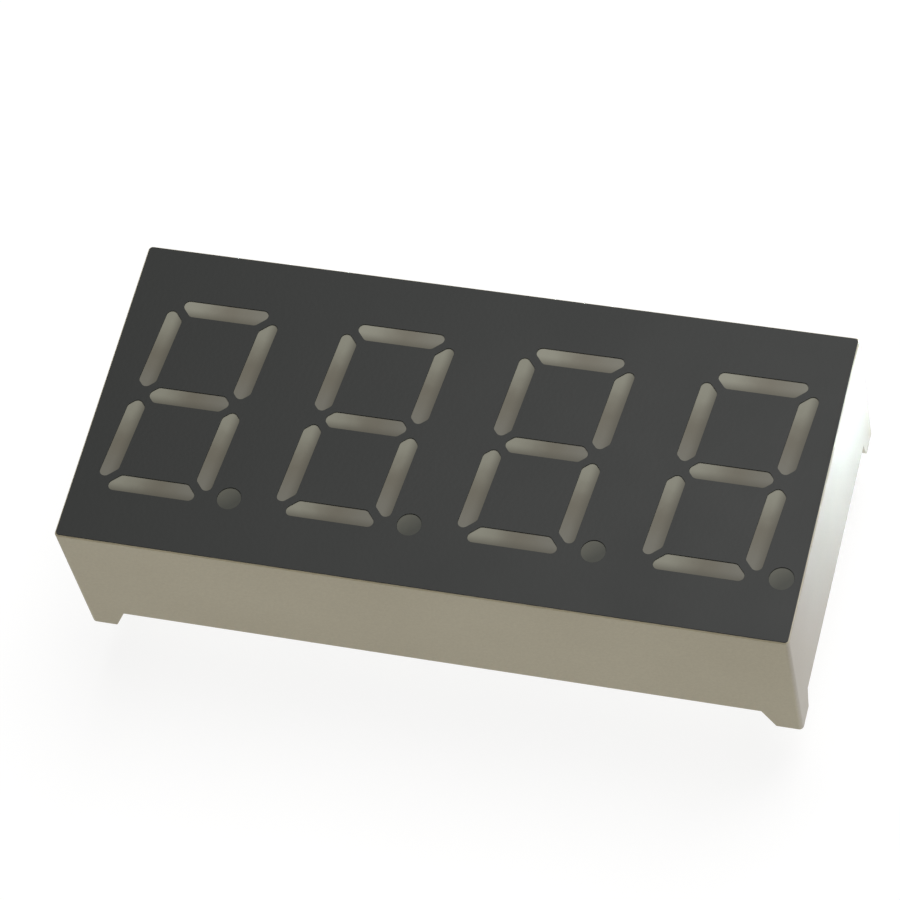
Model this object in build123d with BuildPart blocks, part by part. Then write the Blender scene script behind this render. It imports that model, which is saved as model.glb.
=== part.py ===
from build123d import *
from math import atan2, degrees, radians, sqrt, tan
import os

# Four-digit seven segment display module: a moulded reflector case with a light well for every
# segment and decimal point, milky resin cast in the wells, a dark printed face, and a circuit
# board with two rows of pins potted into the back.
# The origin is the centre of the seating plane under the feet. X runs along the digits, from
# the first to the last, Y towards the top of the digits, and Z out of the face.

# Digits on the face, in millimetres and degrees
digit_count = 4
digit_spacing = 2.7
digit_height = 9.2
digit_width = 4.8
slant_angle = 5
segment_width = 0.75
segment_gap = 0.34
window_tip_radius = 0.18
window_point_cut = 0.12
point_diameter = 1.0

# Pins: two rows under the case
pins_per_row = 6
pin_pitch = 2.54
pin_row_spacing = 10.16
pin_edge_distance = 1.92
pin_diameter = 0.5
pin_reach = 2.4
pin_shank_width = 0.6

# Moulded case
case_height = 7.2
wall = 0.8
corner_radius = 0.18
rim_chamfer = 0.04
foot_height = 1.1
foot_land = 1.1
foot_ramp_long_side = 0.52
foot_ramp_short_side = 0.25

# Printed face: its edge stands back from the rim's chamfer, and it laps a little over the resin
mask_thickness = 0.04
mask_setback = 0.02
mask_lap = 0.03

# Circuit board and the potting behind it
board_thickness = 1.0
board_clearance = 0.1
potting_cover = 0.55
potting_recess = 0.15

# Floors of the light wells, on the board
segment_floor_width = 0.5
segment_floor_length = 1.5
point_floor_diameter = 0.8
point_lean = 0.45

# Light emitting chips and their bond wires
chip_width = 0.25
chip_height = 0.15
wire_thickness = 0.03
wire_rise = 0.15
wire_peak_share = 0.3
segment_wire_span = 0.7
point_wire_span = 0.4

# Sizes that follow from the ones above
digit_pitch = digit_width + digit_spacing
case_length = digit_count * digit_pitch
case_width = pin_row_spacing + 2 * pin_edge_distance
case_top = case_height - mask_thickness
mask_margin = rim_chamfer + mask_setback
pocket_length = case_length - 2 * wall
pocket_width = case_width - 2 * wall
potting_bottom = foot_height + potting_recess
board_bottom = potting_bottom + potting_cover
board_top = board_bottom + board_thickness
well_depth = case_top - board_top
lean = tan(radians(slant_angle))
half_span = (digit_width - segment_width) / 2
half_rise = (digit_height - segment_width) / 2
bottom_corner_x = digit_width / 2 - half_rise * lean
point_x = (bottom_corner_x + digit_pitch / 2) / 2

# Where the centre lines of a digit's segments meet, before it is slanted
corners = {
    "top_left": Vector(-half_span, half_rise),
    "top_right": Vector(half_span, half_rise),
    "middle_left": Vector(-half_span, 0),
    "middle_right": Vector(half_span, 0),
    "bottom_left": Vector(-half_span, -half_rise),
    "bottom_right": Vector(half_span, -half_rise),
}

# Each segment's two ends and the side that faces out of the digit
segments = {
    "a": ("top_left", "top_right", Vector(0, 1)),
    "b": ("middle_right", "top_right", Vector(1, 0)),
    "c": ("bottom_right", "middle_right", Vector(1, 0)),
    "d": ("bottom_left", "bottom_right", Vector(0, -1)),
    "e": ("bottom_left", "middle_left", Vector(-1, 0)),
    "f": ("middle_left", "top_left", Vector(-1, 0)),
    "g": ("middle_left", "middle_right", Vector(0, 1)),
}

os.makedirs("parts", exist_ok=True)


def slanted(point):
    """A place on an upright digit, leaned over with the digit."""
    return Vector(point.X + point.Y * lean, point.Y)


def segment_middle(name):
    """The middle of a segment's centre line on an upright digit."""
    start, end, outward = segments[name]
    return (corners[start] + corners[end]) / 2


def segment_length(name, gap):
    """A segment's length on its centre line, with this gap to the segments at its ends."""
    start, end, outward = segments[name]
    return (corners[end] - corners[start]).length - gap * sqrt(2)


def segment_outline(name, width, length):
    """Corners of a segment: mitred ends at the digit's corners, pointed ends at half height."""
    start, end, outward = segments[name]
    along = (corners[end] - corners[start]).normalized()
    side = outward * (width / 2)
    outline = []
    for corner, heading in ((end, along), (start, -along)):
        tip = segment_middle(name) + heading * (length / 2)
        back = heading * (width / 2)
        if corner.startswith("middle"):
            end_points = [tip - back + side, tip, tip - back - side]
        else:
            end_points = [tip + back + side, tip - back - side]
        outline += end_points if corner == end else reversed(end_points)
    return [slanted(point) for point in outline]


def segment_axis(name):
    """Centre line of a slanted segment, from its middle towards its second end."""
    start, end, outward = segments[name]
    return Axis(slanted(segment_middle(name)), slanted(corners[end]) - slanted(corners[start]))


def segment_window(name):
    """Opening of the printed face over one segment, rounded at its mitred tips and blunt at its points."""
    start, end, outward = segments[name]
    outline = segment_outline(name, segment_width, segment_length(name, segment_gap))
    with BuildSketch() as window:
        with BuildLine():
            Polyline(outline, close=True)
        make_face()
        for corner, place in ((start, 0), (end, -1)):
            tip = window.vertices().sort_by(segment_axis(name))[place]
            if corner.startswith("middle"):
                chamfer(tip, window_point_cut)
            else:
                fillet(tip, window_tip_radius)
    return window.sketch


def segment_well(name):
    """Light well of one segment, drafted from its mouth under the face to its floor on the board."""
    mouth = Plane.XY.offset(case_top)
    mouth_width = segment_width + 2 * mask_lap
    mouth_length = segment_length(name, segment_gap - 2 * mask_lap)
    side_draft = degrees(atan2((mouth_width - segment_floor_width) / 2, well_depth))
    end_draft = degrees(atan2((mouth_length - segment_floor_length) / 2 / sqrt(2), well_depth))
    with BuildPart() as well:
        with BuildSketch(mouth):
            with BuildLine():
                Polyline(segment_outline(name, mouth_width, mouth_length), close=True)
            make_face()
        extrude(amount=-well_depth)
        walls = well.faces().filter_by(Axis.Z, reverse=True).sort_by(SortBy.AREA)
        draft(walls[-2:], mouth, -side_draft)
        walls = well.faces().filter_by(Axis.Z, reverse=True).sort_by(SortBy.AREA)
        draft(walls[:-2], mouth, -end_draft)
    return well.part


def point_well():
    """Round light well of a decimal point, leaning inwards so that its floor is on the board."""
    with BuildPart() as well:
        with BuildSketch(Plane.XY.offset(case_top)):
            with Locations((point_x, -half_rise)):
                Circle(point_diameter / 2 + mask_lap)
        with BuildSketch(Plane.XY.offset(board_top)):
            with Locations((point_x - point_lean, -half_rise)):
                Circle(point_floor_diameter / 2)
        loft(ruled=True)
    return well.part


def segment_seat(name):
    """Plane on the board at the middle of a segment's well floor, its X along the segment."""
    axis = segment_axis(name)
    return Plane(axis.position, x_dir=axis.direction, z_dir=(0, 0, 1)).offset(board_top)


def chip(seat, span):
    """Light emitting chip, at one end of its bond wire's span."""
    with BuildPart(seat) as die:
        with Locations((-span / 2, 0)):
            Box(chip_width, chip_width, chip_height, align=(Align.CENTER, Align.CENTER, Align.MIN))
    return die.part


def bond_wire(seat, span):
    """Bond wire from the chip's top over a peak and down to the board, cut level at both ends."""
    cut = wire_thickness * sqrt(2)
    peak_x = -span / 2 + span * wire_peak_share
    peak_z = chip_height + wire_rise
    with BuildPart() as wire:
        with BuildSketch(Plane(seat.origin, x_dir=seat.x_dir, z_dir=-seat.y_dir)):
            with BuildLine():
                Polyline(
                    (-(span + cut) / 2, chip_height),
                    (peak_x, peak_z),
                    ((span + cut) / 2, 0),
                    ((span - cut) / 2, 0),
                    (peak_x, peak_z - cut),
                    (-(span - cut) / 2, chip_height),
                    close=True,
                )
            make_face()
        extrude(amount=wire_thickness / 2, both=True)
    return wire.part


def resin_plug(well, die, wire):
    """Resin cast in a well, round the chip and its wire."""
    with BuildPart() as plug:
        add(well)
        add([die, wire], mode=Mode.SUBTRACT)
    return plug.part


def save(piece, name):
    """Name a finished piece and write it."""
    piece.label = name
    export_step(piece, f"parts/{name}.step")


# One digit's light wells, chips, bond wires and resin plugs, by the name of the light
wells = {f"segment_{name}": segment_well(name) for name in segments}
seats = {f"segment_{name}": segment_seat(name) for name in segments}
spans = {light: segment_wire_span for light in wells}
wells["point"] = point_well()
seats["point"] = Plane(
    (point_x - point_lean, -half_rise, board_top),
    x_dir=(0, 1, 0),
    z_dir=(0, 0, 1),
)
spans["point"] = point_wire_span
chips = {light: chip(seats[light], spans[light]) for light in wells}
wires = {light: bond_wire(seats[light], spans[light]) for light in wells}
plugs = {light: resin_plug(wells[light], chips[light], wires[light]) for light in wells}

digit_places = GridLocations(digit_pitch, 0, digit_count, 1).locations
pin_places = GridLocations(pin_pitch, pin_row_spacing, pins_per_row, 2)

# Reflector case: one moulding with the wells, the pocket in the back and the corner feet
with BuildPart() as reflector_case:
    with BuildSketch():
        RectangleRounded(case_length, case_width, corner_radius)
    extrude(amount=case_top)
    chamfer(reflector_case.faces().sort_by(Axis.Z)[-1].edges(), rim_chamfer)
    with BuildSketch():
        Rectangle(pocket_length, pocket_width)
    extrude(amount=board_top, mode=Mode.SUBTRACT)
    # Gaps between the feet, with sloping ends, through the long walls and the short walls
    for plane, length, ramp, reach in (
        (Plane.XZ, case_length, foot_ramp_long_side, case_width),
        (Plane.YZ, case_width, foot_ramp_short_side, case_length),
    ):
        with BuildSketch(plane):
            with BuildLine():
                half_land = length / 2 - foot_land
                Polyline(
                    (-half_land, 0),
                    (half_land, 0),
                    (half_land - ramp, foot_height),
                    (ramp - half_land, foot_height),
                    close=True,
                )
            make_face()
        extrude(amount=reach / 2, both=True, mode=Mode.SUBTRACT)
    for well in wells.values():
        with Locations(*digit_places):
            add(well, mode=Mode.SUBTRACT)
save(reflector_case.part, "reflector_case")

# Printed face on top of the case, with a window over every well
windows = [segment_window(name) for name in segments]
with BuildPart() as face_mask:
    with BuildSketch(Plane.XY.offset(case_top)):
        RectangleRounded(
            case_length - 2 * mask_margin,
            case_width - 2 * mask_margin,
            corner_radius - rim_chamfer,
        )
        for window in windows:
            with Locations(*digit_places):
                add(window, mode=Mode.SUBTRACT)
        with Locations(*digit_places):
            with Locations((point_x, -half_rise)):
                Circle(point_diameter / 2, mode=Mode.SUBTRACT)
    extrude(amount=mask_thickness)
save(face_mask.part, "face_mask")

# Circuit board with its pin holes
with BuildPart() as circuit_board:
    with BuildSketch(Plane.XY.offset(board_bottom)):
        Rectangle(pocket_length - 2 * board_clearance, pocket_width - 2 * board_clearance)
        with pin_places:
            Rectangle(pin_shank_width, pin_shank_width, mode=Mode.SUBTRACT)
    extrude(amount=board_thickness)
save(circuit_board.part, "circuit_board")

# Potting resin behind the board and round its edge
with BuildPart() as back_resin:
    with BuildSketch(Plane.XY.offset(potting_bottom)):
        Rectangle(pocket_length, pocket_width)
        with pin_places:
            Rectangle(pin_shank_width, pin_shank_width, mode=Mode.SUBTRACT)
    extrude(amount=board_top - potting_bottom)
    with BuildSketch(Plane.XY.offset(board_bottom)):
        Rectangle(pocket_length - 2 * board_clearance, pocket_width - 2 * board_clearance)
    extrude(amount=board_thickness, mode=Mode.SUBTRACT)
save(back_resin.part, "back_resin")

# Pin: round wire below the case, pressed square where the board and the resin hold it
with BuildPart() as pin:
    with BuildSketch(Plane.XY.offset(foot_height)):
        Rectangle(pin_shank_width, pin_shank_width)
    extrude(amount=board_top - foot_height)
    with BuildSketch(Plane.XY.offset(foot_height)):
        Circle(pin_diameter / 2)
    extrude(amount=-(foot_height + pin_reach))

# Pin 1 is below the first digit; numbers run along the lower row and back along the upper one
lower_row = [place for place in pin_places.locations if place.position.Y < 0]
upper_row = [place for place in pin_places.locations if place.position.Y > 0]
lower_row.sort(key=lambda place: place.position.X)
upper_row.sort(key=lambda place: -place.position.X)
for number, place in enumerate(lower_row + upper_row, start=1):
    with BuildPart() as placed_pin:
        with Locations(place):
            add(pin.part)
    save(placed_pin.part, f"pin_{number}")

# Each digit's resin plugs one by one, then its chips and its wires as two groups
for number, place in enumerate(digit_places, start=1):
    for light, plug in plugs.items():
        with BuildPart() as placed_plug:
            with Locations(place):
                add(plug)
        save(placed_plug.part, f"digit_{number}_{light}")
    with BuildPart() as led_chips:
        with Locations(place):
            add(list(chips.values()))
    save(led_chips.part, f"digit_{number}_led_chips")
    with BuildPart() as bond_wires:
        with Locations(place):
            add(list(wires.values()))
    save(bond_wires.part, f"digit_{number}_bond_wires")
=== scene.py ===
# %% [markdown]
# A four-digit display module, the kind that is soldered into clocks and meters.
# The solid model already holds every piece at its real size and place. This lesson dresses it: it
# rounds edges, prints the face, pours the resin and gives every surface its finish.
# All lengths are in metres in the model's own frame: X runs along the digits, Y towards their tops
# and Z out of the face, with zero at the middle of the plane under the feet.

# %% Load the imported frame
from math import cos, exp, radians, sin, sqrt, tan, tau

import bmesh
import bpy
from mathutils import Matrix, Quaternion, Vector, noise


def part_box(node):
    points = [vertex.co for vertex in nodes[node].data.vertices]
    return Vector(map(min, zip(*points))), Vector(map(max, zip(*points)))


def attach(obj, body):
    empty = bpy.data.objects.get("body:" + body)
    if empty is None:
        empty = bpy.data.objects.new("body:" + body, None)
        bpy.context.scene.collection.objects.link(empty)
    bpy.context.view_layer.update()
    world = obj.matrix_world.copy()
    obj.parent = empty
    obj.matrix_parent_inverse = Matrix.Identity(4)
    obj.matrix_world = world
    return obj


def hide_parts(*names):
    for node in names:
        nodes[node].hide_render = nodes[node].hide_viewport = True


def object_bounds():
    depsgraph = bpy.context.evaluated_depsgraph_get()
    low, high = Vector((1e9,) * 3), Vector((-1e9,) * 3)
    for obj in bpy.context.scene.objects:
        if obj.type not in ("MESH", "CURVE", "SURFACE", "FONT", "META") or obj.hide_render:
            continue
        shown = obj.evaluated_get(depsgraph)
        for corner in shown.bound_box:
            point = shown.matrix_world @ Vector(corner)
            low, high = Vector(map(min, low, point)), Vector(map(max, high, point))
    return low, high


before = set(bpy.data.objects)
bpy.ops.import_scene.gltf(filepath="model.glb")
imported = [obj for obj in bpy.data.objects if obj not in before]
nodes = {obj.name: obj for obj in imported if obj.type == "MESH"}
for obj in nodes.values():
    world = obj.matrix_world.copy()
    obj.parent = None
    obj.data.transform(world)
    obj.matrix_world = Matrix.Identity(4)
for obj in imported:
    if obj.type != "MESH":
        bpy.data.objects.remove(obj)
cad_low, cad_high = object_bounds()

mm = 0.001
print(f"frame: {len(nodes)} nodes, {[round(x / mm, 2) for x in cad_high - cad_low]} mm")

# %% [markdown]
# The camera. A long lens keeps the two short sides of the face almost parallel.
# A camera can be placed by its location and three angles, but a turntable reads better: aim at a
# point on the face, swing round it, rise above it, step back, and roll the camera's body.

# %% Camera
camera_aim = Vector((-0.08 * mm, -0.64 * mm, cad_high.z))
camera_azimuth = radians(27.8)
camera_elevation = radians(57.84)
camera_roll = radians(-16.07)
camera_distance = 169.6 * mm
camera_lens = 170.6
clip_factor = 100

camera_back = Vector((
    sin(camera_azimuth) * cos(camera_elevation),
    -cos(camera_azimuth) * cos(camera_elevation),
    sin(camera_elevation),
))
camera_data = bpy.data.cameras.new("camera")
camera_data.lens = camera_lens
camera_data.clip_start = camera_distance / clip_factor
camera_data.clip_end = camera_distance * clip_factor
camera = bpy.data.objects.new("camera", camera_data)
camera.location = camera_aim + camera_back * camera_distance
camera.rotation_mode = "QUATERNION"
camera.rotation_quaternion = camera_back.to_track_quat("Z", "Y") @ Quaternion((0, 0, 1), camera_roll)
bpy.context.collection.objects.link(camera)
bpy.context.scene.camera = camera
print(f"camera at {[round(x / mm, 1) for x in camera.location]} mm, lens {camera_lens} mm")

# %% [markdown]
# Three helpers serve every material. Colours are written as the hex values that a colour picker
# shows, but the renderer works with light, so one function turns them to linear values.
# A node tree is a set of nodes and the wires between them. One function adds a node, sets it up and
# wires its inputs, and hands back its outgoing socket, so that a tree reads from top to bottom.
# The third starts an empty material.

# %% Colour and node helpers
def linear(hex_colour):
    """A colour written as sRGB hex, as linear red, green and blue by the sRGB curve, and full alpha."""
    channels = [int(hex_colour[i:i + 2], 16) / 255 for i in (1, 3, 5)]
    return (*[c / 12.92 if c <= 0.04045 else ((c + 0.055) / 1.055) ** 2.4 for c in channels], 1)


def add_node(tree, kind, inputs=None, output=None, **settings):
    """Add a node. An input is a value, a socket or a list of sockets. Gives its first or named output."""
    node = tree.nodes.new(kind)
    for name, value in settings.items():
        setattr(node, name, value)
    for key, value in (inputs or {}).items():
        named = [socket for socket in node.inputs if socket.enabled and socket.name == key]
        socket = named[0] if named else node.inputs[key]
        for source in value if isinstance(value, list) else [value]:
            if isinstance(source, bpy.types.NodeSocket):
                tree.links.new(source, socket)
            else:
                socket.default_value = source
    found = [socket for socket in node.outputs if socket.enabled and output in (None, socket.name)]
    return found[0] if found else node


def new_material(name):
    """An empty node material and its tree."""
    material = bpy.data.materials.new(name)
    material.use_nodes = True
    material.node_tree.nodes.clear()
    print(f"material: {name}")
    return material, material.node_tree


# %% [markdown]
# The floor is a light table: a sheet of opal acrylic, lit from underneath, under the pins' tips.
# It is stage, not part of the module. A sheet of card would do, but the module would cast a dark
# shadow on it, and small parts are shown best without one. The glow also lights the front wall,
# which faces away from the lamps. A disc is enough, large enough that no view shows its edge.
# Only its upper side is opal: from below it is clear, so that the pins can be looked at.

# %% Opal acrylic
opal_cloud = 4 * mm
table_glow = 0.88

# Acrylic, cast opal: matt white, with a barely visible cloudiness, glowing evenly from inside
opal, tree = new_material("opal_acrylic_cast")
place = add_node(tree, "ShaderNodeTexCoord", output="Object")
clouds = add_node(tree, "ShaderNodeTexNoise", {"Vector": place, "Scale": 1 / opal_cloud, "Detail": 3})
tone = add_node(tree, "ShaderNodeMix", {"Factor": clouds, "A": linear("#6E6E6E"), "B": linear("#717171")},
                data_type="RGBA")
lit_side = add_node(tree, "ShaderNodeBsdfPrincipled",
                    {"Base Color": tone, "Roughness": 0.9, "Specular IOR Level": 0.1,
                     "Emission Color": linear("#FFFFFF"), "Emission Strength": table_glow})
clear_side = add_node(tree, "ShaderNodeBsdfTransparent")
from_below = add_node(tree, "ShaderNodeNewGeometry", output="Backfacing")
shader = add_node(tree, "ShaderNodeMixShader", {0: from_below, 1: lit_side, 2: clear_side})
add_node(tree, "ShaderNodeOutputMaterial", {"Surface": shader})

# %% Floor
floor_radius = 1200 * mm
floor_sides = 96

disc = bmesh.new()
bmesh.ops.create_circle(disc, cap_ends=True, segments=floor_sides, radius=floor_radius)
bmesh.ops.translate(disc, verts=disc.verts, vec=(0, 0, cad_low.z))
floor_mesh = bpy.data.meshes.new("floor")
disc.to_mesh(floor_mesh)
disc.free()
floor_mesh.materials.append(opal)
floor = bpy.data.objects.new("floor", floor_mesh)
bpy.context.collection.objects.link(floor)
print(f"floor at {cad_low.z / mm:.2f} mm")

# %% [markdown]
# The light. A broad softbox hangs above and behind, near the line where the dark face mirrors it
# into the camera, which gives the face its soft grey. A smaller one stands low on the right, and a
# lamp with a honeycomb grid, which narrows its beam, brightens the back end of the short wall.
# Nothing stands in front, so the long wall stays a calm beige. A point lamp would draw hard edges,
# so all three are areas, and a weak warm sky fills what they miss.
# The low lamps would also glance off the dark face and slip under the module onto the floor. A
# photographer would hang black flags in their way. Here light linking does the same: these two
# light the case and no more.

# %% A softbox
open_spread = radians(180)


def softbox(name, place, aim, width, power, hex_colour, spread=open_spread):
    """A square area lamp at a place, turned to its aim and left out of the camera's own view."""
    data = bpy.data.lights.new(name, "AREA")
    data.size = width
    data.energy = power
    data.color = linear(hex_colour)[:3]
    data.spread = spread
    lamp = bpy.data.objects.new(name, data)
    lamp.location = place
    lamp.rotation_euler = (aim - place).to_track_quat("-Z", "Y").to_euler()
    lamp.visible_camera = False
    bpy.context.collection.objects.link(lamp)
    print(f"{name}: {power} W, {width / mm:.0f} mm wide")
    return lamp


# %% Lamps
above_place = Vector((35 * mm, 90 * mm, 230 * mm))
above_width = 190 * mm
above_power = 0.67
right_place = Vector((250 * mm, 40 * mm, 40 * mm))
right_width = 60 * mm
right_power = 0.17
grid_place = Vector((190 * mm, 0, 25 * mm))
grid_width = 8 * mm
grid_power = 0.0025
grid_spread = radians(8)

# The gridded lamp aims a little past the upper back corner, so that its beam fades along the wall
grid_aim_back = 0.8 * mm
grid_aim_height = 8.6 * mm

face_middle = Vector((0, 0, cad_high.z))
right_wall = Vector((cad_high.x, 0, cad_high.z / 2))
past_back_corner = Vector((cad_high.x, cad_high.y + grid_aim_back, grid_aim_height))
softbox("softbox_above", above_place, face_middle, above_width, above_power, "#FFFFFF")
right_softbox = softbox("softbox_right", right_place, right_wall, right_width, right_power, "#8E9EFF")
gridded_lamp = softbox("gridded_lamp", grid_place, past_back_corner, grid_width, grid_power, "#BFD8FF",
                       grid_spread)
lit_from_right = bpy.data.collections.new("lit_from_right")
for lamp in (right_softbox, gridded_lamp):
    lamp.light_linking.receiver_collection = lit_from_right

# %% Sky
sky_strength = 0.04

sky = bpy.data.worlds.new("studio_sky")
sky.use_nodes = True
sky.node_tree.nodes.clear()
glow = add_node(sky.node_tree, "ShaderNodeBackground",
                {"Color": linear("#FFF0D0"), "Strength": sky_strength})
add_node(sky.node_tree, "ShaderNodeOutputWorld", {"Surface": glow})
bpy.context.scene.world = sky
bpy.context.scene.view_settings.view_transform = "Standard"
print(f"sky: strength {sky_strength}")

# %% [markdown]
# The case is one white moulding. Its pocket, wells and feet come from the solid model, but a real
# mould leaves no knife edges. A Bevel modifier would round every edge, also those deep in the
# wells where nothing shows. Instead a copy of the mesh is cleaned, and only the edges that are
# open to view are bevelled: the rim, and all round the feet and the pocket's mouth.
# The mould was spark-eroded, which leaves a fine even grain that breaks up any highlight.

# %% Case plastic
grain_width = 0.12 * mm
grain_depth = 0.02 * mm
flow_width = 6 * mm

# Grain and flow run from 0 to 1 each, and their sum stays mostly between these two
cloud_low = 0.6
cloud_high = 1.4

# White polycarbonate, moulded in a spark-eroded tool: a warm white with a silky, broken gloss, a
# faint speckle from the grain and wide soft clouds where the melt flowed.
# The grain of about 0.03 mm is too fine to show, so it is drawn four times as wide and as deep.
case_plastic, tree = new_material("white_polycarbonate_spark_eroded")
place = add_node(tree, "ShaderNodeTexCoord", output="Object")
grain = add_node(tree, "ShaderNodeTexNoise", {"Vector": place, "Scale": 1 / grain_width, "Detail": 2})
flow = add_node(tree, "ShaderNodeTexNoise", {"Vector": place, "Scale": 1 / flow_width, "Detail": 3})
clouds = add_node(tree, "ShaderNodeMath", {0: grain, 1: flow}, operation="ADD")
clouds = add_node(tree, "ShaderNodeMapRange",
                  {"Value": clouds, "From Min": cloud_low, "From Max": cloud_high})
tone = add_node(tree, "ShaderNodeMix", {"Factor": clouds, "A": linear("#B2A88B"), "B": linear("#BEB599")},
                data_type="RGBA")
gloss = add_node(tree, "ShaderNodeMapRange", {"Value": grain, "To Min": 0.42, "To Max": 0.58})
bump = add_node(tree, "ShaderNodeBump", {"Height": grain, "Strength": 0.5, "Distance": grain_depth})
shader = add_node(tree, "ShaderNodeBsdfPrincipled",
                  {"Base Color": tone, "Roughness": gloss, "IOR": 1.58, "Normal": bump})
add_node(tree, "ShaderNodeOutputMaterial", {"Surface": shader})

# %% [markdown]
# A solid's mesh arrives as loose triangles, and it must stay as it is. So work starts on a copy:
# its corners are welded and its flat faces made whole, chosen edges are rounded, and the result is
# shaded smooth over round stretches and crisp at sharp edges. These helpers serve several pieces.

# %% Mesh helpers
weld = 0.0005 * mm
flat_angle = radians(1)
sharp_angle = radians(30)
round_steps = 3
round_profile = 0.5


def merged_copy(node):
    """The node's mesh with its corners welded and its flat faces whole, for further work."""
    shape = bmesh.new()
    shape.from_mesh(nodes[node].data)
    bmesh.ops.remove_doubles(shape, verts=shape.verts, dist=weld)
    bmesh.ops.dissolve_limit(shape, angle_limit=flat_angle, verts=shape.verts, edges=shape.edges)
    return shape


def is_sharp(edge):
    """True for an edge where two faces meet at a clear angle."""
    return edge.calc_face_angle(0) > sharp_angle


def round_edges(shape, edges, radius):
    """Round edges of a shape. The new faces take the material of the faces beside them."""
    bmesh.ops.bevel(shape, geom=edges, offset=radius, segments=round_steps, profile=round_profile,
                    affect="EDGES", clamp_overlap=True, material=-1)


# %% Shading helpers
def shade(mesh):
    """Shade a mesh smooth, but for its sharp edges."""
    mesh.shade_smooth()
    mesh.set_sharp_from_angle(angle=sharp_angle)


def keep_flat(piece):
    """Let large faces shade flat, so that only the rounded edges beside them catch a gradient."""
    modifier = piece.modifiers.new("flat_faces", "WEIGHTED_NORMAL")
    modifier.keep_sharp = True


def finished(shape, name, material):
    """Turn a worked shape into a shaded object with one material."""
    mesh = bpy.data.meshes.new(name)
    shape.to_mesh(mesh)
    shape.free()
    mesh.materials.append(material)
    shade(mesh)
    piece = bpy.data.objects.new(name, mesh)
    bpy.context.collection.objects.link(piece)
    return piece


# %% Case
foot_round = 0.04 * mm
rim_round = 0.012 * mm
resin_low, resin_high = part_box("back_resin")


def on_feet(edge):
    """True for an edge below the poured back: the feet and the pocket's mouth."""
    return max(vert.co.z for vert in edge.verts) < resin_low.z


def on_rim(edge):
    """True for an edge of the outer rim, above the pocket and outside the wells."""
    low = min(vert.co.z for vert in edge.verts)
    outside = max(
        max(abs(vert.co.x) - resin_high.x, abs(vert.co.y) - resin_high.y)
        for vert in edge.verts
    )
    return low > resin_high.z and outside > weld


shape = merged_copy("reflector_case")
for is_chosen, radius in ((on_feet, foot_round), (on_rim, rim_round)):
    chosen = [edge for edge in shape.edges if is_chosen(edge) and is_sharp(edge)]
    round_edges(shape, chosen, radius)
    print(f"case: {len(chosen)} edges rounded by {radius / mm:.3f} mm")
case = finished(shape, "moulded_case", case_plastic)
keep_flat(case)
lit_from_right.objects.link(case)
print(f"case: {len(case.data.polygons)} faces")
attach(case, "root")
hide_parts("reflector_case")

# %% [markdown]
# The face is a dark layer with a window over every segment and point. The same seven windows come
# back on every digit, so Geometry Nodes do the repeating: one digit's outlines go in as bare wires,
# their corners are rounded, four copies stand a pitch apart, and the sheet between the rim and
# the windows is filled and given its thickness. Cutting 32 holes with booleans would be slower.

# %% Ink of the face
mesh_pitch = 0.16 * mm
ink_relief = 0.004 * mm
ink_cloud = 5 * mm

# Epoxy ink, screen printed in two coats: dark grey and matt, with a trace of the screen's mesh.
# A print screen has about 0.08 mm from thread to thread, drawn here twice as wide so that it shows.
face_ink, tree = new_material("dark_epoxy_ink_screen_printed")
place = add_node(tree, "ShaderNodeTexCoord", output="Object")
clouds = add_node(tree, "ShaderNodeTexNoise", {"Vector": place, "Scale": 1 / ink_cloud, "Detail": 4})
specks = add_node(tree, "ShaderNodeTexVoronoi", {"Vector": place, "Scale": 1 / mesh_pitch}, "Distance")
tone = add_node(tree, "ShaderNodeMix", {"Factor": clouds, "A": linear("#212321"), "B": linear("#272928")},
                data_type="RGBA")
gloss = add_node(tree, "ShaderNodeMapRange", {"Value": clouds, "To Min": 0.5, "To Max": 0.62})
bump = add_node(tree, "ShaderNodeBump", {"Height": specks, "Strength": 0.4, "Distance": ink_relief})
shader = add_node(tree, "ShaderNodeBsdfPrincipled",
                  {"Base Color": tone, "Roughness": gloss, "Specular IOR Level": 0.34, "Normal": bump})
add_node(tree, "ShaderNodeOutputMaterial", {"Surface": shader})

# %% [markdown]
# One rule draws every window: a bar between two of the digit's six corners, mitred where it meets
# its neighbour at a corner of the digit, and pointed where it ends at half height. The outlines
# could be read off the solids, but seven pairs of ends and one function show the rule itself.
# The slant comes last and shifts each point sideways by its height.

# %% Sizes of a digit
digit_height = 9.2 * mm
digit_width = 4.8 * mm
segment_width = 0.75 * mm
segment_gap = 0.34 * mm
slant = tan(radians(5))
half_width = segment_width / 2
half_span = (digit_width - segment_width) / 2
half_rise = (digit_height - segment_width) / 2

# Each segment's two ends, as shares of the half span and the half rise
segment_end_shares = {
    "a": ((-1, 1), (1, 1)),
    "b": ((1, 0), (1, 1)),
    "c": ((1, -1), (1, 0)),
    "d": ((-1, -1), (1, -1)),
    "e": ((-1, -1), (-1, 0)),
    "f": ((-1, 0), (-1, 1)),
    "g": ((-1, 0), (1, 0)),
}
print(f"digit: {len(segment_end_shares)} segments, {digit_width / mm:.1f} x {digit_height / mm:.1f} mm")

# %% Outlines of one digit's windows
def window_corners(start_share, end_share):
    """Corners of a window: mitred where segments meet at a corner, pointed at half height."""
    start, end = [Vector((x * half_span, y * half_rise)) for x, y in (start_share, end_share)]
    along = (end - start).normalized()
    upright = start_share[0] == end_share[0]
    outward = Vector((start_share[0], 0)) if upright else Vector((0, start_share[1] or 1))
    inset = segment_gap / sqrt(2)
    corners = []
    for place, share, heading, order in ((end, end_share, along, 1), (start, start_share, -along, -1)):
        pointed = share[1] == 0
        tip = place - heading * inset
        inner = tip - (heading + outward) * half_width
        outer = tip + (outward - heading if pointed else outward + heading) * half_width
        end_corners = [outer, tip, inner] if pointed else [outer, inner]
        corners += end_corners[::order]
    return [Vector((point.x + point.y * slant, point.y, 0)) for point in corners]


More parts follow.
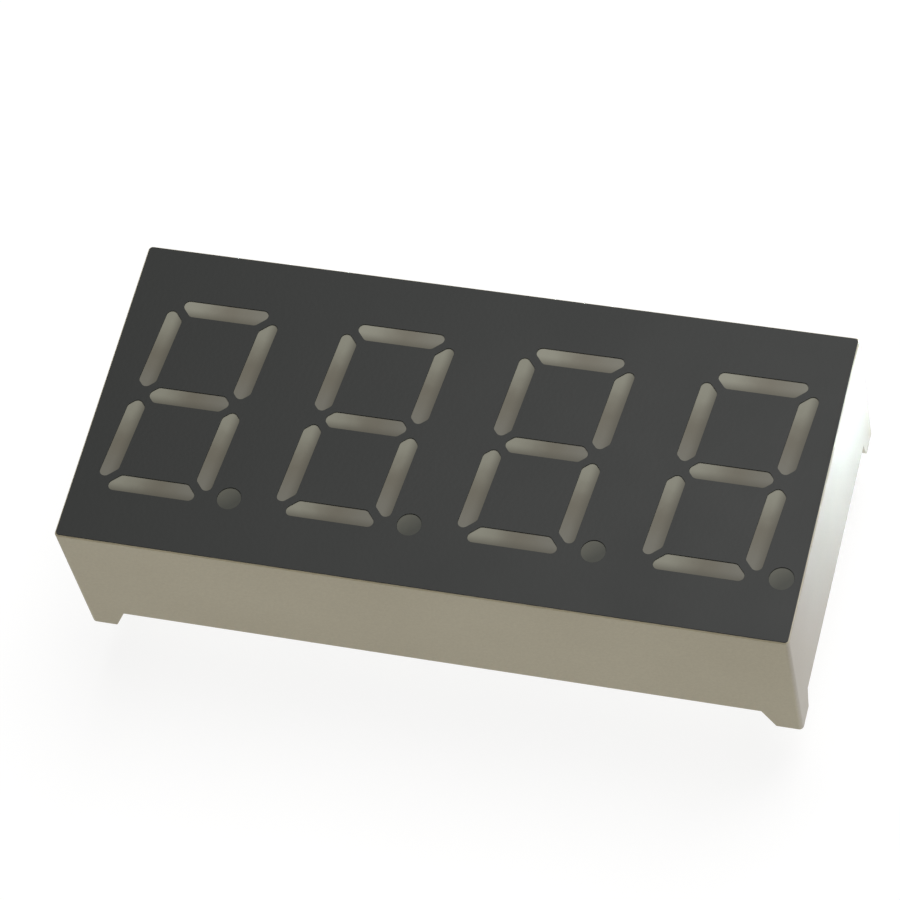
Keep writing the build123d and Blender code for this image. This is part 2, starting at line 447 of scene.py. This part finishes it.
wires = bmesh.new()
for ends in segment_end_shares.values():
    loop = [wires.verts.new(corner) for corner in window_corners(*ends)]
    for vert, following in zip(loop, loop[1:] + loop[:1]):
        wires.edges.new((vert, following))
window_wires = bpy.data.meshes.new("window_wires")
wires.to_mesh(window_wires)
wires.free()
print(f"one digit's windows: {len(window_wires.vertices)} corners")

# %% [markdown]
# A geometry tree is a recipe: sizes go in by name, and a mesh comes out. One helper starts a tree
# with an input for each size. The other lets the tree work, and keeps what it makes as a plain
# mesh, because an exported model would lose a live modifier's instances.

# %% Tree helpers
socket_kinds = {int: "NodeSocketInt", float: "NodeSocketFloat", bpy.types.Material: "NodeSocketMaterial"}


def start_tree(name, inputs):
    """A geometry tree with a named input for each value. Gives the tree and its input sockets."""
    tree = bpy.data.node_groups.new(name, "GeometryNodeTree")
    tree.interface.new_socket("Geometry", in_out="INPUT", socket_type="NodeSocketGeometry")
    for label, value in inputs.items():
        tree.interface.new_socket(label, in_out="INPUT", socket_type=socket_kinds[type(value)])
    tree.interface.new_socket("Geometry", in_out="OUTPUT", socket_type="NodeSocketGeometry")
    return tree, tree.nodes.new("NodeGroupInput").outputs


def run_tree(tree, inputs, mesh, name):
    """Let the tree work on a mesh, and keep what it makes as the plain mesh of a new object."""
    piece = bpy.data.objects.new(name, mesh)
    bpy.context.collection.objects.link(piece)
    modifier = piece.modifiers.new(tree.name, "NODES")
    modifier.node_group = tree
    for item in tree.interface.items_tree:
        if item.in_out == "INPUT" and item.name in inputs:
            modifier[item.identifier] = inputs[item.name]
    evaluated = piece.evaluated_get(bpy.context.evaluated_depsgraph_get())
    made = bpy.data.meshes.new_from_object(evaluated)
    piece.modifiers.remove(modifier)
    piece.data = made
    # The mesh that went in had no material, which leaves an empty slot
    for number in reversed(range(len(made.materials))):
        if made.materials[number] is None:
            made.materials.pop(index=number)
    print(f"{name}: materials {[material.name for material in made.materials]}")
    return piece


# %% Sizes of the face
mask_low, mask_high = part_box("face_mask")
point_low, point_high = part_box("digit_1_point")
digit_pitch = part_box("digit_2_segment_a")[0].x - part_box("digit_1_segment_a")[0].x
digit_count = len([name for name in nodes if name.endswith("_segment_a")])
first_digit_x = -digit_pitch * (digit_count - 1) / 2

# The resin of a point reaches this far under the ink, all round
point_lap = 0.03 * mm
point_radius = (point_high.y - point_low.y) / 2 - point_lap

face_sizes = {
    "Digit Count": digit_count,
    "Digit Pitch": digit_pitch,
    "Window Radius": 0.24 * mm,
    "Point Radius": point_radius,
    "Point X": point_high.x - point_lap - point_radius - first_digit_x,
    "Point Y": -half_rise,
    "Length": mask_high.x - mask_low.x,
    "Width": mask_high.y - mask_low.y,
    "Rim Radius": 0.14 * mm,
    "Bottom": mask_low.z,
    "Thickness": mask_high.z - mask_low.z,
    "Ink": face_ink,
}
print(f"face: {digit_count} digits, {digit_pitch / mm:.2f} mm apart")

# %% Tree of the face: one digit
window_corner_points = 8
point_sides = 48

face_tree, given = start_tree("printed_face", face_sizes)
windows = add_node(face_tree, "GeometryNodeMeshToCurve", {"Mesh": given["Geometry"]})
windows = add_node(face_tree, "GeometryNodeFilletCurve",
                   {"Curve": windows, "Count": window_corner_points, "Radius": given["Window Radius"],
                    "Limit Radius": True}, mode="POLY")
point = add_node(face_tree, "GeometryNodeCurvePrimitiveCircle",
                 {"Resolution": point_sides, "Radius": given["Point Radius"]}, "Curve")
point_place = add_node(face_tree, "ShaderNodeCombineXYZ", {"X": given["Point X"], "Y": given["Point Y"]})
point = add_node(face_tree, "GeometryNodeTransform", {"Geometry": point, "Translation": point_place})
digit = add_node(face_tree, "GeometryNodeJoinGeometry", {"Geometry": [windows, point]})

# %% Tree of the face: the row
# It is centred on the face
row_length = add_node(face_tree, "ShaderNodeMath", {0: given["Digit Pitch"], 1: given["Digit Count"]},
                      operation="MULTIPLY")
first_x = add_node(face_tree, "ShaderNodeMath", {0: given["Digit Pitch"], 1: row_length},
                   operation="SUBTRACT")
first_x = add_node(face_tree, "ShaderNodeMath", {0: first_x, 1: 2.0}, operation="DIVIDE")
row_start = add_node(face_tree, "ShaderNodeCombineXYZ", {"X": first_x})
row_step = add_node(face_tree, "ShaderNodeCombineXYZ", {"X": given["Digit Pitch"]})
row = add_node(face_tree, "GeometryNodeMeshLine",
               {"Count": given["Digit Count"], "Start Location": row_start, "Offset": row_step})
digits = add_node(face_tree, "GeometryNodeInstanceOnPoints", {"Points": row, "Instance": digit})

# %% Tree of the face: the sheet
rim_corner_points = 10

# It is filled between the rim and the windows, raised, and closed underneath
rim = add_node(face_tree, "GeometryNodeCurvePrimitiveQuadrilateral",
               {"Width": given["Length"], "Height": given["Width"]})
rim = add_node(face_tree, "GeometryNodeFilletCurve",
               {"Curve": rim, "Count": rim_corner_points, "Radius": given["Rim Radius"]}, mode="POLY")
outlines = add_node(face_tree, "GeometryNodeJoinGeometry", {"Geometry": [rim, digits]})
outlines = add_node(face_tree, "GeometryNodeRealizeInstances", {"Geometry": outlines})
sheet = add_node(face_tree, "GeometryNodeFillCurve", {"Curve": outlines}, mode="NGONS")
rise = add_node(face_tree, "ShaderNodeCombineXYZ", {"Z": given["Thickness"]})
raised = add_node(face_tree, "GeometryNodeExtrudeMesh",
                  {"Mesh": sheet, "Offset": rise, "Individual": False}, "Mesh")
under = add_node(face_tree, "GeometryNodeFlipFaces", {"Mesh": sheet})
body = add_node(face_tree, "GeometryNodeJoinGeometry", {"Geometry": [raised, under]})
body = add_node(face_tree, "GeometryNodeMergeByDistance", {"Geometry": body, "Distance": weld})
lift = add_node(face_tree, "ShaderNodeCombineXYZ", {"Z": given["Bottom"]})
body = add_node(face_tree, "GeometryNodeTransform", {"Geometry": body, "Translation": lift})
body = add_node(face_tree, "GeometryNodeRealizeInstances", {"Geometry": body})
body = add_node(face_tree, "GeometryNodeSetMaterial", {"Geometry": body, "Material": given["Ink"]})
add_node(face_tree, "NodeGroupOutput", {"Geometry": body})
print(f"tree of the face: {len(face_tree.nodes)} nodes")

# %% Printed face
ink_round = 0.025 * mm

printed_face = run_tree(face_tree, face_sizes, window_wires, "printed_face")

# Ink draws back a little from every edge as it dries, so the edges of the print are rounded
shape = bmesh.new()
shape.from_mesh(printed_face.data)
top_edges = [edge for edge in shape.edges
             if is_sharp(edge) and min(vert.co.z for vert in edge.verts) > mask_high.z - weld]
round_edges(shape, top_edges, ink_round)
shape.to_mesh(printed_face.data)
shape.free()
shade(printed_face.data)
keep_flat(printed_face)
print(f"printed face: {len(printed_face.data.polygons)} faces for {digit_count} digits")
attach(printed_face, "root")
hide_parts("face_mask")

# %% [markdown]
# Behind each window the well is filled with milky resin. Its solids are right as they are, so they
# keep their meshes and only get a finish. The resin is cloudy, and its tone is painted light and
# shade: dim and warm over the chip, where light falls deep into the well, paler at the end towards
# the upper left, where the lamp-lit white wall of the well shows through, greyer at the other end,
# and darker along the long edge away from the upper left. True scattering in a volume would be slow
# to render, and an exported model would lose it, so the finish paints this light from the place alone.
# It folds the row of digits onto one digit, stands that digit upright, and folds it again onto one
# segment. Upright and level segments fold in different ways, so each kind has its own material.

# %% Place in a segment
def shares_of_segment(tree, place, shift, fold, reach):
    """Where a place lies in its segment, as shares of its half size, with X counted to the left.

    Shift and fold bring the place to its segment's middle, and reach is the segment's half size.
    """
    parts = add_node(tree, "ShaderNodeSeparateXYZ", {"Vector": place}).node.outputs
    in_digit = add_node(tree, "ShaderNodeMath", {0: parts["X"], 1: digit_pitch, 2: 0.0}, operation="WRAP")
    straight = add_node(tree, "ShaderNodeMath", {0: parts["Y"], 1: -slant, 2: in_digit},
                        operation="MULTIPLY_ADD")
    leftward = add_node(tree, "ShaderNodeMath", {0: digit_pitch / 2, 1: straight}, operation="SUBTRACT")
    upright = add_node(tree, "ShaderNodeCombineXYZ", {"X": leftward, "Y": parts["Y"]})
    shifted = add_node(tree, "ShaderNodeVectorMath", {0: upright, 1: shift}, operation="ADD")
    folded = add_node(tree, "ShaderNodeVectorMath", {0: shifted, 1: fold, 2: -fold}, operation="WRAP")
    shares = add_node(tree, "ShaderNodeVectorMath", {0: folded, 1: reach}, operation="DIVIDE")
    return add_node(tree, "ShaderNodeSeparateXYZ", {"Vector": shares}).node.outputs


# %% Segment resin
resin_cloud = 0.5 * mm
skin_wave = 0.3 * mm
skin_depth = 0.004 * mm

# Where the painted light and shade change the tone, as shares of the segment's half length and half width
cloud_share = 0.3
painted_light_shares = (0.0, 0.9)
grey_shares = (0.1, -0.7)
shade_shares = (-1.4, 0.2)


def cast_resin(name, tones, shift, fold, reach, along, beside):
    """Diffused epoxy, cast in the wells: olive beige and cloudy, with painted light and shade, and a
    smooth slightly waved skin.

    Along and beside name the axes that run with the segment and across it.
    """
    middle_tone, painted_light_tone, grey_tone, shade_tone = [linear(tone) for tone in tones.values()]
    material, tree = new_material(name)
    place = add_node(tree, "ShaderNodeTexCoord", output="Object")
    shares = shares_of_segment(tree, place, shift, fold, reach)
    clouds = add_node(tree, "ShaderNodeTexNoise", {"Vector": place, "Scale": 1 / resin_cloud, "Detail": 3})
    spread = add_node(tree, "ShaderNodeMath", {0: clouds, 1: cloud_share, 2: shares[along]},
                      operation="MULTIPLY_ADD")
    # Painted light: paler at the end towards the upper left, greyer at the other end. Painted shade:
    # darker along the long edge away from the upper left.
    painted_light, grey, lit = [
        add_node(tree, "ShaderNodeMapRange", {"Value": value, "From Min": start, "From Max": end},
                 interpolation_type="SMOOTHSTEP")
        for value, (start, end) in (
            (spread, painted_light_shares),
            (spread, grey_shares),
            (shares[beside], shade_shares),
        )
    ]
    tone = add_node(tree, "ShaderNodeMix", {"Factor": painted_light, "A": middle_tone, "B": painted_light_tone},
                    data_type="RGBA")
    tone = add_node(tree, "ShaderNodeMix", {"Factor": grey, "A": tone, "B": grey_tone}, data_type="RGBA")
    # Painted shade along the long edge away from the upper left
    tone = add_node(tree, "ShaderNodeMix", {"Factor": lit, "A": shade_tone, "B": tone}, data_type="RGBA")
    waves = add_node(tree, "ShaderNodeTexNoise", {"Vector": place, "Scale": 1 / skin_wave})
    bump = add_node(tree, "ShaderNodeBump", {"Height": waves, "Strength": 0.5, "Distance": skin_depth})
    shader = add_node(tree, "ShaderNodeBsdfPrincipled",
                      {"Base Color": tone, "Roughness": 0.5, "Specular IOR Level": 0.2, "Normal": bump})
    add_node(tree, "ShaderNodeOutputMaterial", {"Surface": shader})
    return material


# %% Resin of the level, top and upright segments
# Each set of tones holds a dim middle, a paler tone of painted light, a greyer tone and a darker tone of
# painted shade.
# The top segments get a paler copy of the set: painted light, so that they look more brightly lit.
well_tones = {"middle": "#6B675B", "painted_light": "#878679", "grey": "#716F66", "shade": "#57544A"}
painted_lighter_top_tones = {"middle": "#736F63", "painted_light": "#8E8D80", "grey": "#79776D", "shade": "#5D5A4F"}

# Nothing folds in Z, so the 1 there leaves it as it is
level_fold = {
    "shift": Vector((0, 0, 0)),
    "fold": Vector((digit_pitch / 2, half_rise / 2, 1)),
    "reach": Vector((half_span, half_width, 1)),
    "along": "X",
    "beside": "Y",
}
upright_fold = {
    "shift": Vector((half_span, half_rise / 2, 0)),
    "fold": Vector((half_span, half_rise / 2, 1)),
    "reach": Vector((half_width, half_rise / 2, 1)),
    "along": "Y",
    "beside": "X",
}
level_resin = cast_resin("milky_epoxy_cast_level", well_tones, **level_fold)
painted_lighter_top_resin = cast_resin("milky_epoxy_cast_top_painted_lighter", painted_lighter_top_tones, **level_fold)
upright_resin = cast_resin("milky_epoxy_cast_upright", well_tones, **upright_fold)

# %% Point resin
point_middle = (point_low + point_high) / 2
painted_light_direction = Vector((-1, 1, 0)).normalized()

# The row of points repeats along X alone: the other two ranges are wider than a point
row_fold = Vector((digit_pitch / 2, digit_pitch / 2, 1))

# The same resin in the points' round wells, with painted light and shade. They lean towards their
# digit, so that little light comes back from them: the tones are painted dark, paler towards the
# digit, and darkest on the side away from it, where the outer wall shades it.
point_resin, tree = new_material("milky_epoxy_cast_in_points")
place = add_node(tree, "ShaderNodeTexCoord", output="Object")
from_first = add_node(tree, "ShaderNodeVectorMath", {0: place, 1: point_middle}, operation="SUBTRACT")
in_point = add_node(tree, "ShaderNodeVectorMath", {0: from_first, 1: row_fold, 2: -row_fold},
                    operation="WRAP")
towards_digit = add_node(tree, "ShaderNodeVectorMath", {0: in_point, 1: painted_light_direction}, "Value",
                         operation="DOT_PRODUCT")
clouds = add_node(tree, "ShaderNodeTexNoise", {"Vector": place, "Scale": 1 / resin_cloud, "Detail": 3})
spread = add_node(tree, "ShaderNodeMath", {0: clouds, 1: point_radius / 2, 2: towards_digit},
                  operation="MULTIPLY_ADD")
# Painted light and shade: paler towards the digit, darker on the side away from it
painted_light = add_node(tree, "ShaderNodeMapRange",
                {"Value": spread, "From Min": -point_radius / 2, "From Max": point_radius})
tone = add_node(tree, "ShaderNodeMix", {"Factor": painted_light, "A": linear("#42433D"), "B": linear("#5A5A51")},
                data_type="RGBA")
waves = add_node(tree, "ShaderNodeTexNoise", {"Vector": place, "Scale": 1 / skin_wave})
bump = add_node(tree, "ShaderNodeBump", {"Height": waves, "Strength": 0.5, "Distance": skin_depth})
shader = add_node(tree, "ShaderNodeBsdfPrincipled",
                  {"Base Color": tone, "Roughness": 0.5, "Specular IOR Level": 0.2, "Normal": bump})
add_node(tree, "ShaderNodeOutputMaterial", {"Surface": shader})

# %% Dress the castings
def dress(name_part, material):
    """Give every node with this in its name the material, and count them."""
    dressed = [node for name, node in nodes.items() if name_part in name]
    for node in dressed:
        for slot in node.material_slots:
            slot.material = material
    print(f"{material.name}: {len(dressed)} nodes")


dress("_segment_a", painted_lighter_top_resin)
for letter in "dg":
    dress(f"_segment_{letter}", level_resin)
for letter in "bcef":
    dress(f"_segment_{letter}", upright_resin)
dress("_point", point_resin)

# %% [markdown]
# The pins stand in two rows of six. Each is round tinned wire, pressed square where the resin and
# the board hold it, and its cut end is slightly rounded by tumbling. A lathe profile would do for
# one pin. Here a ring is swept down the pin's axis, in steps that crowd together towards the tip,
# where it narrows along a quarter of an ellipse. Geometry Nodes set copies on a grid.

# %% Tin of the pins
draw_width = 0.04 * mm
draw_length = 1.5 * mm
draw_depth = 0.001 * mm

# Tinned steel wire, drawn and hot dipped: bright grey metal with faint lines along its length
pin_tin, tree = new_material("tinned_steel_drawn")
place = add_node(tree, "ShaderNodeTexCoord", output="Object")
drawn = add_node(tree, "ShaderNodeMapping",
                 {"Vector": place, "Scale": (1 / draw_width, 1 / draw_width, 1 / draw_length)})
lines = add_node(tree, "ShaderNodeTexNoise", {"Vector": drawn, "Scale": 1.0, "Detail": 2})
tone = add_node(tree, "ShaderNodeMix", {"Factor": lines, "A": linear("#B9B8B4"), "B": linear("#D6D5D1")},
                data_type="RGBA")
gloss = add_node(tree, "ShaderNodeMapRange", {"Value": lines, "To Min": 0.24, "To Max": 0.4})
bump = add_node(tree, "ShaderNodeBump", {"Height": lines, "Strength": 0.4, "Distance": draw_depth})
shader = add_node(tree, "ShaderNodeBsdfPrincipled",
                  {"Base Color": tone, "Metallic": 1.0, "Roughness": gloss, "Normal": bump})
add_node(tree, "ShaderNodeOutputMaterial", {"Surface": shader})

# %% Sizes of the pins
pin_names = [name for name in nodes if name.startswith("pin_")]
pin_lows = [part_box(name)[0] for name in pin_names]
pin_low, pin_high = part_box("pin_1")
pin_radius = 0.25 * mm

# The pressed square ends level with the case's underside, where the creeping resin covers it
shank_width = pin_high.x - pin_low.x
shank_bottom = 1.1 * mm

# Pins in line share one place, once it is rounded to a micrometre
place_digits = 3
pin_places = sorted({round((low.x + shank_width / 2) / mm, place_digits) * mm for low in pin_lows})
row_places = sorted({round((low.y + shank_width / 2) / mm, place_digits) * mm for low in pin_lows})

pin_sizes = {
    "Rows": len(row_places),
    "Pins Per Row": len(pin_places),
    "Row Length": pin_places[-1] - pin_places[0],
    "Row Spacing": row_places[-1] - row_places[0],
    "Radius": pin_radius,
    "Tip": pin_low.z,
    "Tip Rounding": 0.15 * mm,
    "Tip Share": 0.45,
    "Shank Width": shank_width,
    "Shank Bottom": shank_bottom,
    "Shank Top": pin_high.z,
    "Tin": pin_tin,
}
print(f"pins: {len(pin_names)} in {len(row_places)} rows of {len(pin_places)}")

# %% Tree of the pins: the axis
axis_points = 20
tip_crowding = 3.0

# Its points crowd together towards the tip
pin_tree, given = start_tree("pin_rows", pin_sizes)
axis_start = add_node(pin_tree, "ShaderNodeCombineXYZ", {"Z": given["Shank Top"]})
axis_end = add_node(pin_tree, "ShaderNodeCombineXYZ", {"Z": given["Tip"]})
axis = add_node(pin_tree, "GeometryNodeCurvePrimitiveLine", {"Start": axis_start, "End": axis_end})
axis = add_node(pin_tree, "GeometryNodeResampleCurve", {"Curve": axis, "Count": axis_points})
along = add_node(pin_tree, "GeometryNodeSplineParameter", output="Factor")
above_tip = add_node(pin_tree, "ShaderNodeMath", {0: 1.0, 1: along}, operation="SUBTRACT")
crowded = add_node(pin_tree, "ShaderNodeMath", {0: above_tip, 1: tip_crowding}, operation="POWER")
height = add_node(pin_tree, "ShaderNodeMapRange",
                  {"Value": crowded, "To Min": given["Tip"], "To Max": given["Shank Top"]})
ring_place = add_node(pin_tree, "ShaderNodeCombineXYZ", {"Z": height})
axis = add_node(pin_tree, "GeometryNodeSetPosition", {"Geometry": axis, "Position": ring_place})

# %% Tree of the pins: the wire
pin_sides = 32

# It is full down to the rounding, and narrows from there to the tip
round_start = add_node(pin_tree, "ShaderNodeMath", {0: given["Tip"], 1: given["Tip Rounding"]},
                       operation="ADD")
ring_height = add_node(pin_tree, "GeometryNodeInputPosition")
ring_height = add_node(pin_tree, "ShaderNodeSeparateXYZ", {"Vector": ring_height}, "Z")
down = add_node(pin_tree, "ShaderNodeMapRange",
                {"Value": ring_height, "From Min": round_start, "From Max": given["Tip"]})
down = add_node(pin_tree, "ShaderNodeMath", {0: down, 1: 2.0}, operation="POWER")
narrow = add_node(pin_tree, "ShaderNodeMath", {0: 1.0, 1: down}, operation="SUBTRACT")
narrow = add_node(pin_tree, "ShaderNodeMath", {0: narrow}, operation="SQRT")
narrow = add_node(pin_tree, "ShaderNodeMapRange", {"Value": narrow, "To Min": given["Tip Share"]})
ring = add_node(pin_tree, "GeometryNodeCurvePrimitiveCircle",
                {"Resolution": pin_sides, "Radius": given["Radius"]}, "Curve")
wire = add_node(pin_tree, "GeometryNodeCurveToMesh",
                {"Curve": axis, "Profile Curve": ring, "Scale": narrow, "Fill Caps": True})

# %% Tree of the pins: the pressed square
# It sits round the upper end of the wire
shank_height = add_node(pin_tree, "ShaderNodeMath", {0: given["Shank Top"], 1: given["Shank Bottom"]},
                        operation="SUBTRACT")
shank_size = add_node(pin_tree, "ShaderNodeCombineXYZ",
                      {"X": given["Shank Width"], "Y": given["Shank Width"], "Z": shank_height})
shank = add_node(pin_tree, "GeometryNodeMeshCube", {"Size": shank_size}, "Mesh")
shank_middle = add_node(pin_tree, "ShaderNodeMath", {0: shank_height, 1: 0.5, 2: given["Shank Bottom"]},
                        operation="MULTIPLY_ADD")
shank_place = add_node(pin_tree, "ShaderNodeCombineXYZ", {"Z": shank_middle})
shank = add_node(pin_tree, "GeometryNodeTransform", {"Geometry": shank, "Translation": shank_place})
one_pin = add_node(pin_tree, "GeometryNodeJoinGeometry", {"Geometry": [wire, shank]})

# %% Tree of the pins: the rows
grid = add_node(pin_tree, "GeometryNodeMeshGrid",
                {"Size X": given["Row Length"], "Size Y": given["Row Spacing"],
                 "Vertices X": given["Pins Per Row"], "Vertices Y": given["Rows"]}, "Mesh")
rows = add_node(pin_tree, "GeometryNodeInstanceOnPoints", {"Points": grid, "Instance": one_pin})
rows = add_node(pin_tree, "GeometryNodeRealizeInstances", {"Geometry": rows})
rows = add_node(pin_tree, "GeometryNodeSetMaterial", {"Geometry": rows, "Material": given["Tin"]})
add_node(pin_tree, "NodeGroupOutput", {"Geometry": rows})
print(f"tree of the pins: {len(pin_tree.nodes)} nodes")

# %% Pins
pins = run_tree(pin_tree, pin_sizes, bpy.data.meshes.new("pins"), "tinned_pins")
shade(pins.data)
print(f"pins: {len(pins.data.polygons)} faces")
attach(pins, "root")
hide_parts(*pin_names)

# %% [markdown]
# The back is sealed with poured resin. Poured while the module lies on its face, it creeps up the
# walls and the pins before it sets, and its free surface is never quite flat.
# The solid has a flat surface there. A copy of it is cut into a fine grid, and each point of the
# free surface is pulled out by how near it is to a wall or a pin, plus a gentle wave. Round a pin
# the surface closes over the pressed square, up to the round wire.

# %% Potting resin
potting_cloud = 2.5 * mm
potting_skin = 0.8 * mm

# Filled epoxy, poured and self-levelled: milky off-white with a wet-looking skin
potting, tree = new_material("filled_epoxy_poured")
place = add_node(tree, "ShaderNodeTexCoord", output="Object")
clouds = add_node(tree, "ShaderNodeTexNoise", {"Vector": place, "Scale": 1 / potting_cloud, "Detail": 4})
tone = add_node(tree, "ShaderNodeMix", {"Factor": clouds, "A": linear("#A9A596"), "B": linear("#BDB9AB")},
                data_type="RGBA")
skin = add_node(tree, "ShaderNodeTexNoise", {"Vector": place, "Scale": 1 / potting_skin})
bump = add_node(tree, "ShaderNodeBump", {"Height": skin, "Strength": 0.3, "Distance": skin_depth})
shader = add_node(tree, "ShaderNodeBsdfPrincipled",
                  {"Base Color": tone, "Roughness": 0.28, "IOR": 1.55, "Normal": bump})
add_node(tree, "ShaderNodeOutputMaterial", {"Surface": shader})

# %% Creep of the resin
wall_climb = 0.11 * mm
wall_reach = 0.28 * mm
pin_climb = 0.26 * mm
pin_reach = 0.4 * mm
wave_height = 0.02 * mm
wave_length = 3.5 * mm
pin_axes = [Vector((x, y, 0)) for x in pin_places for y in row_places]


def from_pin(point):
    """The nearest pin's axis, and the way from it to a point, seen along the pin."""
    flat = Vector((point.x, point.y, 0))
    nearest = min(pin_axes, key=lambda pin_axis: (flat - pin_axis).length)
    return nearest, flat - nearest


def creep(point):
    """How far the resin stands out at a point: high at walls and pins, with a gentle wave between."""
    to_wall = min(resin_high.x - abs(point.x), resin_high.y - abs(point.y))
    to_pin = from_pin(point)[1].length - pin_radius
    climb = max(wall_climb * exp(-to_wall / wall_reach), pin_climb * exp(-to_pin / pin_reach))
    return climb + wave_height * noise.noise(point / wave_length)


# %% Poured back
grid_step = 0.2 * mm

# The resin reaches this far into the wire, so that no gap shows between them
pin_lap = 0.005 * mm

# The cuts of the grid: across X, and across Y
cuts = (
    (Vector((1, 0, 0)), resin_low.x, resin_high.x),
    (Vector((0, 1, 0)), resin_low.y, resin_high.y),
)

# The face looks up in this frame, so the free surface is the lowest part of the resin
surface_top = resin_low.z + weld
shape = merged_copy("back_resin")
for direction, low, high in cuts:
    cut_count = round((high - low) / grid_step)
    for number in range(1, cut_count):
        cut_point = direction * (low + (high - low) * number / cut_count)
        faces = [face for face in shape.faces if face.calc_center_median().z < surface_top]
        edges = {edge for face in faces for edge in face.edges}
        verts = {vert for face in faces for vert in face.verts}
        bmesh.ops.bisect_plane(shape, geom=[*faces, *edges, *verts], dist=weld,
                               plane_co=cut_point, plane_no=direction)
for vert in shape.verts:
    if vert.co.z < surface_top:
        pin_axis, offset = from_pin(vert.co)
        if max(abs(offset.x), abs(offset.y)) < shank_width / 2 + weld:
            vert.co.xy = (pin_axis + offset.normalized() * (pin_radius - pin_lap)).xy
        vert.co.z -= creep(vert.co)
back = finished(shape, "poured_back", potting)
print(f"poured back: {len(back.data.polygons)} faces")
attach(back, "root")
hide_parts("back_resin")

# %% [markdown]
# What is sealed inside keeps its solids: the glass fibre board, the chips and their gold wires.
# They are not in view, but whoever lifts the face off finds them finished as well.
# A wave texture draws even lines, so it serves for the threads of the cloth and for saw marks.

# %% Board
weave_pitch = 0.5 * mm

# A wave texture of scale 1 draws a band every tau / 20 units, so scales are worked out from that
band_pitch = tau / 20

# Glass fibre laminate, pressed: translucent yellow-green with the weave of the cloth showing
laminate, tree = new_material("glass_fibre_laminate_pressed")
place = add_node(tree, "ShaderNodeTexCoord", output="Object")
threads = {"Vector": place, "Scale": band_pitch / weave_pitch}
warp = add_node(tree, "ShaderNodeTexWave", threads, "Fac", bands_direction="X")
weft = add_node(tree, "ShaderNodeTexWave", threads, "Fac", bands_direction="Y")
weave = add_node(tree, "ShaderNodeMath", {0: warp, 1: weft}, operation="MULTIPLY")
tone = add_node(tree, "ShaderNodeMix", {"Factor": weave, "A": linear("#A8A56A"), "B": linear("#BDB982")},
                data_type="RGBA")
shader = add_node(tree, "ShaderNodeBsdfPrincipled", {"Base Color": tone, "Roughness": 0.4})
add_node(tree, "ShaderNodeOutputMaterial", {"Surface": shader})
dress("circuit_board", laminate)

# %% Chips
saw_width = 0.03 * mm

# Gallium phosphide crystal, sawn: dark amber with fine saw lines
crystal, tree = new_material("gallium_phosphide_sawn")
place = add_node(tree, "ShaderNodeTexCoord", output="Object")
lines = add_node(tree, "ShaderNodeTexWave", {"Vector": place, "Scale": band_pitch / saw_width}, "Fac")
tone = add_node(tree, "ShaderNodeMix", {"Factor": lines, "A": linear("#6A2F16"), "B": linear("#7C3B1E")},
                data_type="RGBA")
shader = add_node(tree, "ShaderNodeBsdfPrincipled", {"Base Color": tone, "Roughness": 0.2, "IOR": 3.2})
add_node(tree, "ShaderNodeOutputMaterial", {"Surface": shader})
dress("_led_chips", crystal)

# %% Bond wires
wire_grain = 0.02 * mm

# Gold wire, drawn: bright yellow metal with a faintly uneven tone
gold, tree = new_material("gold_wire_drawn")
place = add_node(tree, "ShaderNodeTexCoord", output="Object")
grain = add_node(tree, "ShaderNodeTexNoise", {"Vector": place, "Scale": 1 / wire_grain})
tone = add_node(tree, "ShaderNodeMix", {"Factor": grain, "A": linear("#E2B24E"), "B": linear("#F0C668")},
                data_type="RGBA")
shader = add_node(tree, "ShaderNodeBsdfPrincipled",
                  {"Base Color": tone, "Metallic": 1.0, "Roughness": 0.25})
add_node(tree, "ShaderNodeOutputMaterial", {"Surface": shader})
dress("_bond_wires", gold)
